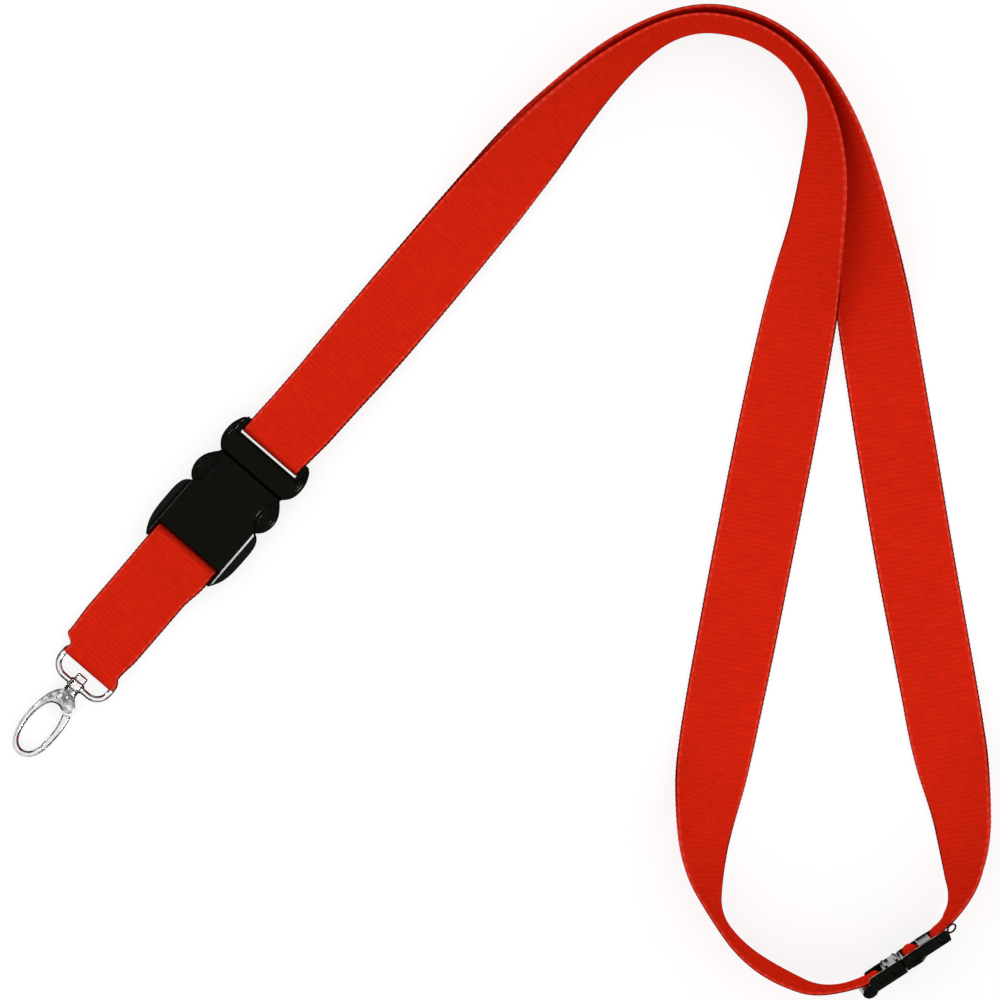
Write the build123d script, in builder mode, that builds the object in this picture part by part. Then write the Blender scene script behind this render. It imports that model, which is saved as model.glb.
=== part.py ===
"""Neck lanyard: flat woven strap, side-release buckle, D-ring with a swivel trigger hook, and a breakaway clasp.

Millimetres.  The lanyard lies on z = 0, +Z up, origin under the middle of its outline.
"""
import math
import os

from build123d import *

os.makedirs("parts", exist_ok=True)

# ------------------------------------------------------------------ driving dimensions
WEB_W = 20.0          # webbing width
WEB_T = 1.0           # webbing thickness
BAR_R = 1.15          # round webbing bars of the buckle
WRAP_GAP = 0.07       # webbing stands this far off what it goes round
PLATE_T = 1.55        # top and bottom plates of the female half
BUCKLE_H = 8.0        # buckle thickness
MOUTH_S = -7.0        # mouth of the female half
EDGE_S = -31.2        # straight rear edge of its plates
FEMALE_BAR_S = -33.6  # its webbing bar
MALE_BAR_S = 2.5      # webbing bar of the male half
BAR_Z = 4.0           # height of both bars
RING_BAR_S = -71.5    # straight side of the D-ring
RING_Z = 2.3          # height of the D-ring and hook
RING_Y = -1.2         # the ring hangs a little to one side of the short strap's middle
WIRE_R = 0.8          # D-ring wire
RING_HALF = 7.95      # D-ring, half width at the wire's centre
RING_DEPTH = 6.6
HOOK_T = 2.6          # hook casting thickness
CLASP_H = 24.0        # clasp width, which stands upright here
CLASP_T = 3.7         # clasp thickness
RUN_FIT = 0.05        # radial clearance of running fits

# buckle axis on the floor: from the hook towards the neck loop
BUCKLE_AT = (-59.89, 12.20)
BUCKLE_DEG = 49.2
# clasp axis
CLASP_AT = (103.75, -118.8)
CLASP_DEG = 33.0

# ------------------------------------------------------------------ strap routes
# Middle of the webbing (UP_C, LOW_C) and of its left-hand edge (UP_E, LOW_E), as control points of quadratic splines.
UP_C = [(-58.25, 14.10, 5.72), (-49.11, 24.69, 5.72), (-27.76, 48.30, 2.20), (-7.45, 72.75, 2.80), (11.46, 94.65, 9.44), (29.92, 113.59, 11.24), (47.20, 124.31, 11.62), (64.10, 122.68, 11.51), (76.74, 114.67, 11.58), (83.69, 101.65, 11.65), (84.14, 85.86, 9.71), (81.46, 66.48, 9.37), (77.29, 44.34, 3.11), (72.32, 19.19, 0.62), (66.94, -8.19, 0.95), (61.82, -34.85, 0.62), (56.49, -61.65, 0.81), (52.83, -81.99, 7.57), (52.82, -96.20, 9.32), (55.86, -107.31, 10.67), (62.35, -116.02, 10.48), (71.41, -122.36, 10.32), (84.52, -127.64, 11.22), (93.98, -123.77, 12.00)]
UP_E = [(-65.83, 20.62, 5.72), (-56.68, 31.22, 5.72), (-35.40, 54.71, 2.20), (-15.11, 79.15, 2.71), (4.69, 99.28, 16.79), (26.91, 116.32, 20.55), (46.93, 126.22, 21.61), (64.58, 124.11, 21.39), (77.58, 115.76, 21.45), (86.34, 101.80, 21.50), (89.73, 84.76, 17.84), (89.03, 64.45, 16.96), (86.89, 41.75, 4.49), (82.56, 17.32, 0.62), (77.26, -10.26, 0.95), (71.95, -36.71, 0.62), (66.40, -63.67, 0.58), (60.93, -84.39, 0.78), (58.07, -96.61, 0.60), (56.95, -106.96, 0.59), (63.17, -114.95, 0.61), (72.07, -120.89, 0.35), (85.92, -127.63, 1.30), (94.11, -123.65, 2.00)]
LOW_C = [(-58.25, 14.10, 2.28), (-49.11, 24.69, 2.28), (-30.15, 45.48, 0.62), (-12.45, 67.23, 0.69), (4.02, 86.54, 4.00), (19.90, 105.29, 8.77), (34.92, 119.69, 9.95), (51.09, 126.44, 10.48), (66.68, 123.99, 10.38), (78.76, 115.20, 10.21), (86.20, 101.58, 9.80), (90.80, 85.82, 8.32), (94.61, 65.30, 6.66), (98.43, 43.80, 0.55), (102.70, 16.75, 0.80), (107.02, -9.93, 0.80), (112.11, -37.77, 0.62), (116.30, -60.97, 2.79), (119.20, -77.07, 7.54), (120.45, -90.25, 8.68), (119.75, -102.69, 11.80), (115.84, -107.49, 12.02)]
LOW_E = [(-65.83, 20.62, 2.28), (-56.68, 31.22, 2.28), (-37.86, 51.82, 0.62), (-20.02, 73.87, 0.40), (-3.52, 92.08, 7.27), (14.04, 109.33, 17.09), (32.78, 122.16, 19.41), (50.91, 128.56, 20.44), (67.33, 125.58, 20.25), (80.52, 116.56, 20.01), (90.31, 102.83, 19.11), (97.24, 86.47, 16.17), (103.19, 66.11, 12.50), (108.48, 45.38, 0.40), (112.80, 18.37, 0.80), (117.25, -8.30, 0.80), (122.18, -35.92, 0.50), (125.84, -58.89, 4.94), (127.00, -74.66, 14.39), (126.38, -89.06, 16.91), (121.96, -101.36, 21.80), (116.25, -107.62, 22.01)]
LOW_CUT = 0.80        # the lower strand flexes beyond this share of its route when the clasp comes apart


def unit(a):
    m = math.sqrt(sum(x * x for x in a))
    return tuple(x / m for x in a)


def cross(a, b):
    return (a[1] * b[2] - a[2] * b[1], a[2] * b[0] - a[0] * b[2], a[0] * b[1] - a[1] * b[0])


def spline_at(points, t):
    """Point of the clamped quadratic spline with these control points, t from 0 to 1."""
    spans = len(points) - 2
    x = min(max(t, 0.0), 1.0) * spans
    i = min(int(x), spans - 1)
    f = x - i
    knot = lambda j: min(max(j - 2, 0), spans)
    a, b, c = points[i], points[i + 1], points[i + 2]
    k1, k2, k3, k4 = knot(i + 1), knot(i + 2), knot(i + 3), knot(i + 4)
    u = i + f
    w1 = (u - k1) / (k3 - k1)
    w2 = (u - k2) / (k4 - k2)
    d1 = [a[j] + (b[j] - a[j]) * w1 for j in range(3)]
    d2 = [b[j] + (c[j] - b[j]) * w2 for j in range(3)]
    w3 = (u - k2) / (k3 - k2)
    return tuple(d1[j] + (d2[j] - d1[j]) * w3 for j in range(3))


def ribbon_planes(mid, edge, t0, t1, count):
    """Section planes across the webbing: x across it to the left, z along it."""
    planes = []
    for j in range(count + 1):
        t = t0 + (t1 - t0) * j / count
        c = spline_at(mid, t)
        p, q = spline_at(mid, max(t - 0.004, 0)), spline_at(mid, min(t + 0.004, 1))
        along = unit(tuple(q[k] - p[k] for k in range(3)))
        e = spline_at(edge, t)
        w = tuple(e[k] - c[k] for k in range(3))
        dot = sum(w[k] * along[k] for k in range(3))
        across = unit(tuple(w[k] - dot * along[k] for k in range(3)))
        planes.append(Plane(origin=c, x_dir=across, z_dir=along))
    return planes


def local(at, deg):
    a = math.radians(deg)
    return Plane(origin=(at[0], at[1], 0), x_dir=(math.cos(a), math.sin(a), 0), z_dir=(0, 0, 1))


def lifted(base, z):
    return Plane(origin=base.from_local_coords(Vector(0, 0, z)), x_dir=base.x_dir, z_dir=base.z_dir)


def upright(base, y):
    """Plane through local y, drawn in (along the axis, height), normal towards -y."""
    return Plane(origin=base.from_local_coords(Vector(0, y, 0)), x_dir=base.x_dir, z_dir=-base.y_dir)


BUCKLE = local(BUCKLE_AT, BUCKLE_DEG)
CLASP = local(CLASP_AT, CLASP_DEG)


def band(points, thickness):
    """Closed outline of a band of this thickness that follows these points."""
    left, right = [], []
    for i, (x, y) in enumerate(points):
        a = points[max(i - 1, 0)]
        b = points[min(i + 1, len(points) - 1)]
        d = math.hypot(b[0] - a[0], b[1] - a[1])
        nx, ny = -(b[1] - a[1]) / d, (b[0] - a[0]) / d
        left.append((x + nx * thickness / 2, y + ny * thickness / 2))
        right.append((x - nx * thickness / 2, y - ny * thickness / 2))
    return left + right[::-1]


def ring_band(points, thickness):
    """Outer and inner outlines of a closed band of this thickness round these points, which run anticlockwise."""
    n = len(points)
    outer, inner = [], []
    for i, (x, y) in enumerate(points):
        a, b = points[i - 1], points[(i + 1) % n]
        d = math.hypot(b[0] - a[0], b[1] - a[1])
        nx, ny = -(b[1] - a[1]) / d, (b[0] - a[0]) / d
        outer.append((x - nx * thickness / 2, y - ny * thickness / 2))
        inner.append((x + nx * thickness / 2, y + ny * thickness / 2))
    return outer, inner


def arc_points(cx, cy, r, a0, a1, n):
    return [(cx + r * math.cos(math.radians(a0 + (a1 - a0) * i / n)), cy + r * math.sin(math.radians(a0 + (a1 - a0) * i / n))) for i in range(n + 1)]


def mirrored(points):
    return [(x, -y) for x, y in points[::-1]]


# ------------------------------------------------------------------ neck strap
with BuildPart() as upper:
    for p in ribbon_planes(UP_C, UP_E, 0.0, 1.0, 66):
        with BuildSketch(p):
            Rectangle(WEB_W, WEB_T)
    loft(ruled=True)
upper.part.label = "neck_strap_upper"
export_step(upper.part, "parts/neck_strap_upper.step")

with BuildPart() as lower:
    for p in ribbon_planes(LOW_C, LOW_E, 0.0, LOW_CUT, 50):
        with BuildSketch(p):
            Rectangle(WEB_W, WEB_T)
    loft(ruled=True)
lower.part.label = "neck_strap_lower"
export_step(lower.part, "parts/neck_strap_lower.step")

with BuildPart() as lower_end:
    for p in ribbon_planes(LOW_C, LOW_E, LOW_CUT, 1.0, 14):
        with BuildSketch(p):
            Rectangle(WEB_W, WEB_T)
    loft(ruled=True)
lower_end.part.label = "neck_strap_lower_end"
export_step(lower_end.part, "parts/neck_strap_lower_end.step")

# the webbing's turn round the male half's bar, from the lower strand to the upper one
wrap_mid = BAR_R + WRAP_GAP + WEB_T / 2
with BuildPart() as fold:
    with BuildSketch(upright(BUCKLE, WEB_W / 2)):
        with BuildLine():
            turn = arc_points(MALE_BAR_S, BAR_Z, wrap_mid, 90, 270, 16)
            turn = [turn[0], (MALE_BAR_S - 0.05, turn[0][1])] + turn[1:-1] + [(MALE_BAR_S - 0.05, turn[-1][1]), turn[-1]]
            Polyline(*band(turn, WEB_T), close=True)
        make_face()
    extrude(amount=WEB_W)
fold.part.label = "neck_strap_fold"
export_step(fold.part, "parts/neck_strap_fold.step")

# ------------------------------------------------------------------ buckle, male half
ear = [(-6.9, 10.2), (-6.0, 11.1), (-4.9, 11.9), (-3.2, 12.45), (-1.2, 12.55), (0.6, 12.3), (2.2, 11.7), (3.5, 10.9), (3.9, 10.2)]
with BuildPart() as male:
    with BuildSketch(lifted(BUCKLE, 0.6)):
        with BuildLine():
            Line((-6.9, -10.2), (-6.9, 10.2))
            Spline(*ear)
            Line((3.9, 10.2), (-0.25, 10.2))
            Line((-0.25, 10.2), (-0.25, -10.2))
            Line((-0.25, -10.2), (3.9, -10.2))
            Spline(*mirrored(ear))
        make_face()
    extrude(amount=BUCKLE_H - 1.2)
    rims = male.edges().group_by(Axis.Z)[-1] + male.edges().group_by(Axis.Z)[0]
    chamfer(rims, 0.6)
    # round bar between the ears
    with BuildSketch(upright(BUCKLE, 10.3)):
        with Locations((MALE_BAR_S, BAR_Z)):
            Circle(BAR_R)
    extrude(amount=20.6)
    # guide tongue that enters the female half
    with BuildSketch(lifted(BUCKLE, 2.4)):
        with BuildLine():
            Polyline((-6.9, -3.6), (-6.9, 3.6), (-17.0, 3.2), (-19.5, 2.0), (-19.5, -2.0), (-17.0, -3.2), close=True)
        make_face()
    extrude(amount=3.2)
male.part.label = "buckle_male_frame"
export_step(male.part, "parts/buckle_male_frame.step")

# spring arms with their finger pads, and the barbs at their tips
arm = [(-7.1, 9.9), (-8.6, 11.2), (-10.4, 12.4), (-12.8, 13.05), (-15.2, 12.75), (-17.0, 11.7), (-18.1, 9.3)]
for side, name in ((1, "left"), (-1, "right")):
    outline = [(x, side * y) for x, y in arm]
    with BuildPart() as spring_arm:
        with BuildSketch(lifted(BUCKLE, 1.75)):
            with BuildLine():
                Spline(*outline)
                Polyline((-18.1, side * 9.3), (-22.25, side * 9.15), (-22.25, side * 6.9), (-13.0, side * 7.4), (-7.1, side * 7.2), (-7.1, side * 9.9))
            make_face()
        extrude(amount=4.5)
        pad_rims = spring_arm.edges().filter_by(GeomType.BSPLINE)
        chamfer(pad_rims, 0.45)
    spring_arm.part.label = "buckle_arm_" + name
    export_step(spring_arm.part, "parts/buckle_arm_" + name + ".step")
    with BuildPart() as barb:
        with BuildSketch(lifted(BUCKLE, 2.1)):
            with BuildLine():
                Polyline((-22.25, side * 6.95), (-22.35, side * 10.8), (-23.6, side * 10.8), (-26.9, side * 8.6), (-26.9, side * 7.2), close=True)
            make_face()
        extrude(amount=3.8)
    barb.part.label = "buckle_barb_" + name
    export_step(barb.part, "parts/buckle_barb_" + name + ".step")

# ------------------------------------------------------------------ buckle, female half
scallop = [(-7.0, 10.45), (-8.6, 9.25), (-10.6, 8.55), (-12.6, 8.35), (-14.8, 8.65), (-16.6, 9.6), (-18.0, 11.0)]
flank = [(-18.0, 11.0), (-19.3, 12.4), (-21.2, 13.0), (-25.0, 13.15), (-29.0, 13.05), (-32.5, 12.45), (-35.2, 11.2), (-36.4, 10.3)]
with BuildPart() as female:
    with BuildSketch(BUCKLE):
        with BuildLine():
            Line((-7.0, -10.45), (-7.0, 10.45))
            Spline(*scallop)
            Spline(*flank)
            Line((-36.4, 10.3), (EDGE_S, 10.3))
            Line((EDGE_S, 10.3), (EDGE_S, -10.3))
            Line((EDGE_S, -10.3), (-36.4, -10.3))
            Spline(*mirrored(flank))
            Spline(*mirrored(scallop))
        make_face()
    extrude(amount=BUCKLE_H)
    # flanks fall away from the flat top and bottom towards the sides
    with BuildSketch(Plane(origin=BUCKLE.from_local_coords(Vector(0, 0, 0)), x_dir=-BUCKLE.y_dir, z_dir=-BUCKLE.x_dir)):
        with BuildLine():
            Polyline((-13.4, 1.7), (-10.6, 0.0), (10.6, 0.0), (13.4, 1.7), (13.4, 5.1), (11.2, 7.5), (10.3, BUCKLE_H), (-10.3, BUCKLE_H), (-11.2, 7.5), (-13.4, 5.1), close=True)
        make_face()
    extrude(amount=40, mode=Mode.INTERSECT)
    # room for the arms: open at the sides beside the pads, closed behind them
    with BuildSketch(lifted(BUCKLE, PLATE_T)):
        with BuildLine():
            Polyline((-6.0, 14.5), (-18.6, 14.5), (-18.6, 9.5), (-22.2, 9.5), (-22.2, 11.1), (-28.2, 11.1), (-28.2, -11.1), (-22.2, -11.1), (-22.2, -9.5), (-18.6, -9.5), (-18.6, -14.5), (-6.0, -14.5), close=True)
        make_face()
    extrude(amount=BUCKLE_H - 2 * PLATE_T, mode=Mode.SUBTRACT)
    top = female.faces().sort_by(Axis.Z)[-1]
    chamfer(top.edges().filter_by(GeomType.BSPLINE), 0.3)
    # rounded webbing bar between the rear wings
    with BuildSketch(upright(BUCKLE, 10.4)):
        with Locations((FEMALE_BAR_S, BAR_Z)):
            Circle(BAR_R)
    extrude(amount=20.8)
female.part.label = "buckle_female"
export_step(female.part, "parts/buckle_female.step")

# ------------------------------------------------------------------ short strap
eye_mid = WIRE_R + 0.12 + WEB_T / 2
belt = (
    arc_points(FEMALE_BAR_S, BAR_Z, wrap_mid, -90, 90, 12)
    + [(-37.5, 5.25), (-41.5, 3.85), (-45.5, 2.65), (-50.0, 2.0), (-55.0, 1.78), (-60.0, 1.78), (-64.0, 2.1), (-67.5, 2.95)]
    + arc_points(RING_BAR_S, RING_Z, eye_mid, 90, 270, 12)
    + [(-67.5, 0.78), (-62.0, 0.6), (-56.0, 0.6), (-50.0, 0.62), (-45.5, 0.75), (-41.0, 1.15), (-37.5, 1.75)]
)
belt_out, belt_in = ring_band(belt, WEB_T)
with BuildPart() as short:
    with BuildSketch(upright(BUCKLE, WEB_W / 2)):
        with BuildLine():
            Polyline(*belt_out, close=True)
        make_face()
        with BuildLine():
            Polyline(*belt_in, close=True)
        make_face(mode=Mode.SUBTRACT)
    extrude(amount=WEB_W)
    # the webbing is gathered where it passes through the D-ring
    with BuildSketch(lifted(BUCKLE, -1)):
        with BuildLine():
            Polyline((-67.6, 10.5), (-69.6, RING_Y + 6.8), (-76, RING_Y + 6.8), (-76, 10.5), close=True)
        make_face()
        with BuildLine():
            Polyline((-67.6, -10.5), (-69.6, RING_Y - 6.8), (-76, RING_Y - 6.8), (-76, -10.5), close=True)
        make_face()
    extrude(amount=12, mode=Mode.SUBTRACT)
short.part.label = "short_strap"
export_step(short.part, "parts/short_strap.step")

# thread of the seam that closes the short strap, under the buckle end of its lower layer
with BuildPart() as seam:
    for y in (-7.5, 7.5):
        with BuildSketch(upright(BUCKLE, y + 0.25)):
            with Locations((-53.0, 0.06)):
                Rectangle(5.0, 0.07)
        extrude(amount=0.5)
    with BuildSketch(lifted(BUCKLE, 0.025)):
        with Locations((-50.75, 0), (-55.25, 0)):
            Rectangle(0.5, 14.5)
    extrude(amount=0.07)
seam.part.label = "short_strap_seam"
export_step(seam.part, "parts/short_strap_seam.step")

# ------------------------------------------------------------------ D-ring and swivel hook
RING = Plane(origin=BUCKLE.from_local_coords(Vector(0, RING_Y, RING_Z)), x_dir=BUCKLE.x_dir, z_dir=(0, 0, 1))
BOSS_S = RING_BAR_S - RING_DEPTH


def axial(s):
    """Plane square to the hook's axis at s, facing the hook's tip."""
    return Plane(origin=RING.from_local_coords(Vector(s, 0, 0)), x_dir=RING.y_dir, z_dir=-RING.x_dir)


def cast(z):
    return Plane(origin=RING.from_local_coords(Vector(0, 0, z)), x_dir=RING.x_dir, z_dir=(0, 0, 1))


with BuildPart() as ring:
    with BuildLine(RING):
        a = Line((RING_BAR_S, 0), (RING_BAR_S, RING_HALF - 1.2))
        b = RadiusArc((RING_BAR_S, RING_HALF - 1.2), (RING_BAR_S - 1.2, RING_HALF), -1.2)
        c = Line((RING_BAR_S - 1.2, RING_HALF), (BOSS_S + 3.9, RING_HALF))
        d = RadiusArc((BOSS_S + 3.9, RING_HALF), (BOSS_S, RING_HALF - 3.9), -3.9)
        e = Line((BOSS_S, RING_HALF - 3.9), (BOSS_S, -RING_HALF + 3.9))
        f = RadiusArc((BOSS_S, -RING_HALF + 3.9), (BOSS_S + 3.9, -RING_HALF), -3.9)
        g = Line((BOSS_S + 3.9, -RING_HALF), (RING_BAR_S - 1.2, -RING_HALF))
        h = RadiusArc((RING_BAR_S - 1.2, -RING_HALF), (RING_BAR_S, -RING_HALF + 1.2), -1.2)
        i = Line((RING_BAR_S, -RING_HALF + 1.2), (RING_BAR_S, 0))
    with BuildSketch(Plane(origin=RING.from_local_coords(Vector(RING_BAR_S, 0, 0)), x_dir=RING.x_dir, z_dir=RING.y_dir)):
        Circle(WIRE_R)
    sweep(transition=Transition.ROUND)
    with BuildSketch(axial(BOSS_S + 1.3)):
        Circle(2.15)
    extrude(amount=2.6)
    chamfer(ring.edges().filter_by(GeomType.CIRCLE).filter_by(lambda q: abs(q.radius - 2.15) < 1e-6), 0.35)
    with BuildSketch(axial(BOSS_S + 2)):
        Circle(1.0 + RUN_FIT)
    extrude(amount=4, mode=Mode.SUBTRACT)
ring.part.label = "d_ring"
export_step(ring.part, "parts/d_ring.step")

HEAD_S = BOSS_S + 1.4      # underside of the swivel's head
NECK_S = BOSS_S - 1.4      # top of the hook's neck
with BuildPart() as swivel:
    with BuildSketch(axial(HEAD_S + 1.7)):
        RectangleRounded(3.1, 3.1, 0.9)
    extrude(amount=1.7)
    crown = swivel.faces().sort_by(Axis((0, 0, 0), tuple(RING.x_dir)))[-1]
    fillet(crown.edges(), 0.4)
    with BuildSketch(axial(HEAD_S + 0.05)):
        Circle(1.0)
    extrude(amount=HEAD_S + 0.05 - NECK_S)
swivel.part.label = "swivel_pin"
export_step(swivel.part, "parts/swivel_pin.step")

outer_left = [(-81.0, 2.1), (-83.1, 3.6), (-86.8, 4.65), (-91.6, 5.05), (-96.2, 4.45), (-99.3, 3.1), (-100.9, 1.5), (-101.25, -0.3), (-100.6, -2.2), (-99.2, -3.7), (-97.4, -4.55), (-95.7, -4.95)]
inner_left = [(-96.5, -3.2), (-97.9, -2.7), (-99.3, -1.6), (-99.75, -0.2), (-99.4, 1.1), (-97.8, 2.5), (-95.6, 3.25), (-91.6, 3.6), (-88.0, 3.1), (-85.7, 2.0), (-84.9, 0.3), (-85.3, -1.2)]
PIVOT = (-83.6, -2.55)
with BuildPart() as hook:
    with BuildSketch(cast(-HOOK_T / 2)):
        with BuildLine():
            Line((NECK_S - 0.9, -1.9), (NECK_S - 0.9, 1.9))
            Line((NECK_S - 0.9, 1.9), (-81.0, 2.1))
            Spline(*outer_left)
            Line((-95.7, -4.95), (-96.5, -3.2))
            Spline(*inner_left)
            Polyline((-85.3, -1.2), (-85.25, -2.4), (-84.9, -3.4), (-84.0, -4.05), (-83.0, -3.95), (-81.0, -2.1), (NECK_S - 0.9, -1.9))
        make_face()
    extrude(amount=HOOK_T)
    chamfer(hook.edges().filter_by(GeomType.BSPLINE).group_by(Axis.Z)[-1] + hook.edges().filter_by(GeomType.BSPLINE).group_by(Axis.Z)[0], 0.45)
    # neck collar
    with BuildSketch(axial(NECK_S)):
        Circle(1.9)
    extrude(amount=1.3)
    # slot for the gate's knuckle, and the two small windows of the crown
    with BuildSketch(cast(-0.75)):
        with Locations(PIVOT):
            Circle(1.95)
        with BuildLine():
            Polyline((-84.2, -4.6), (-84.2, -0.9), (-88.0, -0.9), (-88.0, -4.6), close=True)
        make_face()
    extrude(amount=1.5, mode=Mode.SUBTRACT)
    with BuildSketch(cast(-3)):
        with Locations((-82.9, 1.35)):
            RectangleRounded(1.7, 0.9, 0.4, rotation=-18)
        with Locations((-82.0, -0.35)):
            RectangleRounded(0.9, 0.8, 0.35)
    extrude(amount=6, mode=Mode.SUBTRACT)
    with BuildSketch(cast(-3)):
        with Locations(PIVOT):
            Circle(0.55)
    extrude(amount=6, mode=Mode.SUBTRACT)
hook.part.label = "hook_body"
export_step(hook.part, "parts/hook_body.step")

gate_outer = [(-85.2, -4.35), (-88.0, -4.95), (-91.6, -5.15), (-93.6, -5.1), (-95.35, -4.95)]
gate_inner = [(-96.15, -3.35), (-93.5, -3.45), (-90.8, -3.45), (-88.0, -3.0), (-85.4, -2.0)]
with BuildPart() as gate:
    with BuildSketch(cast(-1.15)):
        with BuildLine():
            Spline(*gate_outer)
            Line(gate_outer[-1], gate_inner[0])
            Spline(*gate_inner)
            Line(gate_inner[-1], gate_outer[0])
        make_face()
    extrude(amount=2.3)
    chamfer(gate.edges().filter_by(GeomType.BSPLINE), 0.4)
    # the gate thins to a knuckle that turns on the pin inside the hook's fork
    with BuildSketch(cast(-3)):
        with Locations(PIVOT):
            Circle(2.35)
    extrude(amount=3 - 0.1, mode=Mode.SUBTRACT)
    with BuildSketch(cast(0.65)):
        with Locations(PIVOT):
            Circle(2.35)
    extrude(amount=3, mode=Mode.SUBTRACT)
    with BuildSketch(cast(-0.1)):
        with Locations(PIVOT):
            Circle(1.35)
        with BuildLine():
            Polyline((-83.9, -3.8), (-86.6, -4.4), (-86.4, -2.6), (-84.0, -1.6), close=True)
        make_face()
    extrude(amount=0.75)
    with BuildSketch(cast(-3)):
        with Locations(PIVOT):
            Circle(0.55 + RUN_FIT)
    extrude(amount=6, mode=Mode.SUBTRACT)
gate.part.label = "hook_gate"
export_step(gate.part, "parts/hook_gate.step")

with BuildPart() as pin:
    with BuildSketch(Plane(origin=RING.from_local_coords(Vector(PIVOT[0], PIVOT[1], -HOOK_T / 2)), x_dir=RING.x_dir, z_dir=(0, 0, 1))):
        Circle(0.55)
    extrude(amount=HOOK_T)
pin.part.label = "gate_pin"
export_step(pin.part, "parts/gate_pin.step")

# return spring: one closed coil round the pin, under the knuckle
with BuildPart() as spring:
    with BuildSketch(Plane(origin=RING.from_local_coords(Vector(PIVOT[0], PIVOT[1], -0.7)), x_dir=RING.x_dir, z_dir=(0, 0, 1))):
        Circle(1.2)
        Circle(0.62, mode=Mode.SUBTRACT)
    extrude(amount=0.5)
spring.part.label = "gate_spring"
export_step(spring.part, "parts/gate_spring.step")

# ------------------------------------------------------------------ breakaway clasp, standing on its edge
HALF_T = CLASP_T / 2
RAIL = 1.7            # rails above and below the webbing
Z1 = CLASP_H - RAIL

# socket half: end bulb, webbing window with its pin, hollow body
with BuildPart() as socket:
    with BuildSketch(CLASP):
        with BuildLine():
            Polyline((-0.05, -HALF_T - 0.15), (-0.05, HALF_T), (-9.3, HALF_T), (-9.9, HALF_T - 0.5), (-10.2, 0.2), (-12.3, 0.1), (-13.1, -0.6), (-13.0, -1.5), (-12.3, -2.3), (-11.2, -2.65), (-10.0, -2.55), (-9.2, -HALF_T - 0.15), close=True)
        make_face()
    extrude(amount=CLASP_H)
    chamfer(socket.edges().group_by(Axis.Z)[-1] + socket.edges().group_by(Axis.Z)[0], 0.35)
    # webbing window
    with BuildSketch(lifted(CLASP, RAIL)):
        with BuildLine():
            Polyline((-5.2, -3), (-5.2, 3), (-10.6, 3), (-10.1, 0.1), (-10.1, -3), close=True)
        make_face()
    extrude(amount=CLASP_H - 2 * RAIL, mode=Mode.SUBTRACT)
    with BuildSketch(lifted(CLASP, RAIL - 0.2)):
        with Locations((-7.6, -0.35)):
            Circle(0.6)
    extrude(amount=CLASP_H - 2 * RAIL + 0.4)
    # hollow for the plug's prongs
    with BuildSketch(lifted(CLASP, 4.3)):
        with Locations((-2.2, 0)):
            Rectangle(4.6, 2.3)
    extrude(amount=CLASP_H - 8.6, mode=Mode.SUBTRACT)
    # ribs and two grip recesses on the outer face
    with BuildSketch(lifted(CLASP, 2.6)):
        with Locations((-0.9, HALF_T + 0.1), (-4.1, HALF_T + 0.1)):
            Rectangle(0.7, 0.7)
    extrude(amount=CLASP_H - 5.2)
    with BuildSketch(lifted(CLASP, CLASP_H - 0.5)):
        with Locations((-2.5, 0), (-6.9, 0.1)):
            RectangleRounded(2.4, 1.5, 0.3)
    extrude(amount=0.6, mode=Mode.SUBTRACT)
socket.part.label = "clasp_socket"
export_step(socket.part, "parts/clasp_socket.step")

# plug half: prongs, webbing channel with its front bar, end frame
with BuildPart() as plug:
    with BuildSketch(CLASP):
        with BuildLine():
            Polyline((0.05, -HALF_T + 0.1), (0.05, HALF_T - 0.2), (1.2, HALF_T), (9.8, HALF_T), (13.4, HALF_T), (14.1, 1.0), (14.0, 0.0), (13.7, -1.2), (6.1, -1.2), (4.6, -HALF_T), (2.0, -HALF_T), (1.5, -HALF_T + 0.1), close=True)
        make_face()
    extrude(amount=CLASP_H)
    chamfer(plug.edges().group_by(Axis.Z)[-1] + plug.edges().group_by(Axis.Z)[0], 0.35)
    # webbing channel: open at the front except for the bar, closed at the back
    with BuildSketch(lifted(CLASP, RAIL)):
        with BuildLine():
            Polyline((1.0, 4), (1.0, -0.6), (12.9, -0.6), (13.3, 0.6), (16, 0.6), (16, 4), close=True)
        make_face()
    extrude(amount=CLASP_H - 2 * RAIL, mode=Mode.SUBTRACT)
    with BuildSketch(lifted(CLASP, RAIL - 0.2)):
        with BuildLine():
            Polyline((5.9, 0.8), (5.7, 1.4), (6.2, 2.0), (9.3, 2.0), (9.8, 1.4), (9.6, 0.8), close=True)
        make_face()
    extrude(amount=CLASP_H - 2 * RAIL + 0.4)
    # prongs
    with BuildSketch(lifted(CLASP, 4.9)):
        with BuildLine():
            Polyline((0.3, -0.95), (0.3, 0.95), (-3.2, 0.95), (-4.0, 0.5), (-4.0, -0.5), (-3.2, -0.95), close=True)
        make_face()
    extrude(amount=3.6)
    with BuildSketch(lifted(CLASP, CLASP_H - 8.5)):
        with BuildLine():
            Polyline((0.3, -0.95), (0.3, 0.95), (-3.2, 0.95), (-4.0, 0.5), (-4.0, -0.5), (-3.2, -0.95), close=True)
        make_face()
    extrude(amount=3.6)
    with BuildSketch(lifted(CLASP, CLASP_H - 0.5)):
        with Locations((3.2, 0), (11.9, 0.1)):
            RectangleRounded(2.2, 1.5, 0.3)
    extrude(amount=0.6, mode=Mode.SUBTRACT)
    # small moulded eye at the end of the top rail
    with BuildSketch(lifted(CLASP, CLASP_H - 1.5)):
        with Locations((15.3, 1.35)):
            Ellipse(1.5, 1.0, rotation=17)
            Ellipse(1.05, 0.58, rotation=17, mode=Mode.SUBTRACT)
    extrude(amount=1.5)
plug.part.label = "clasp_plug"
export_step(plug.part, "parts/clasp_plug.step")

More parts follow.
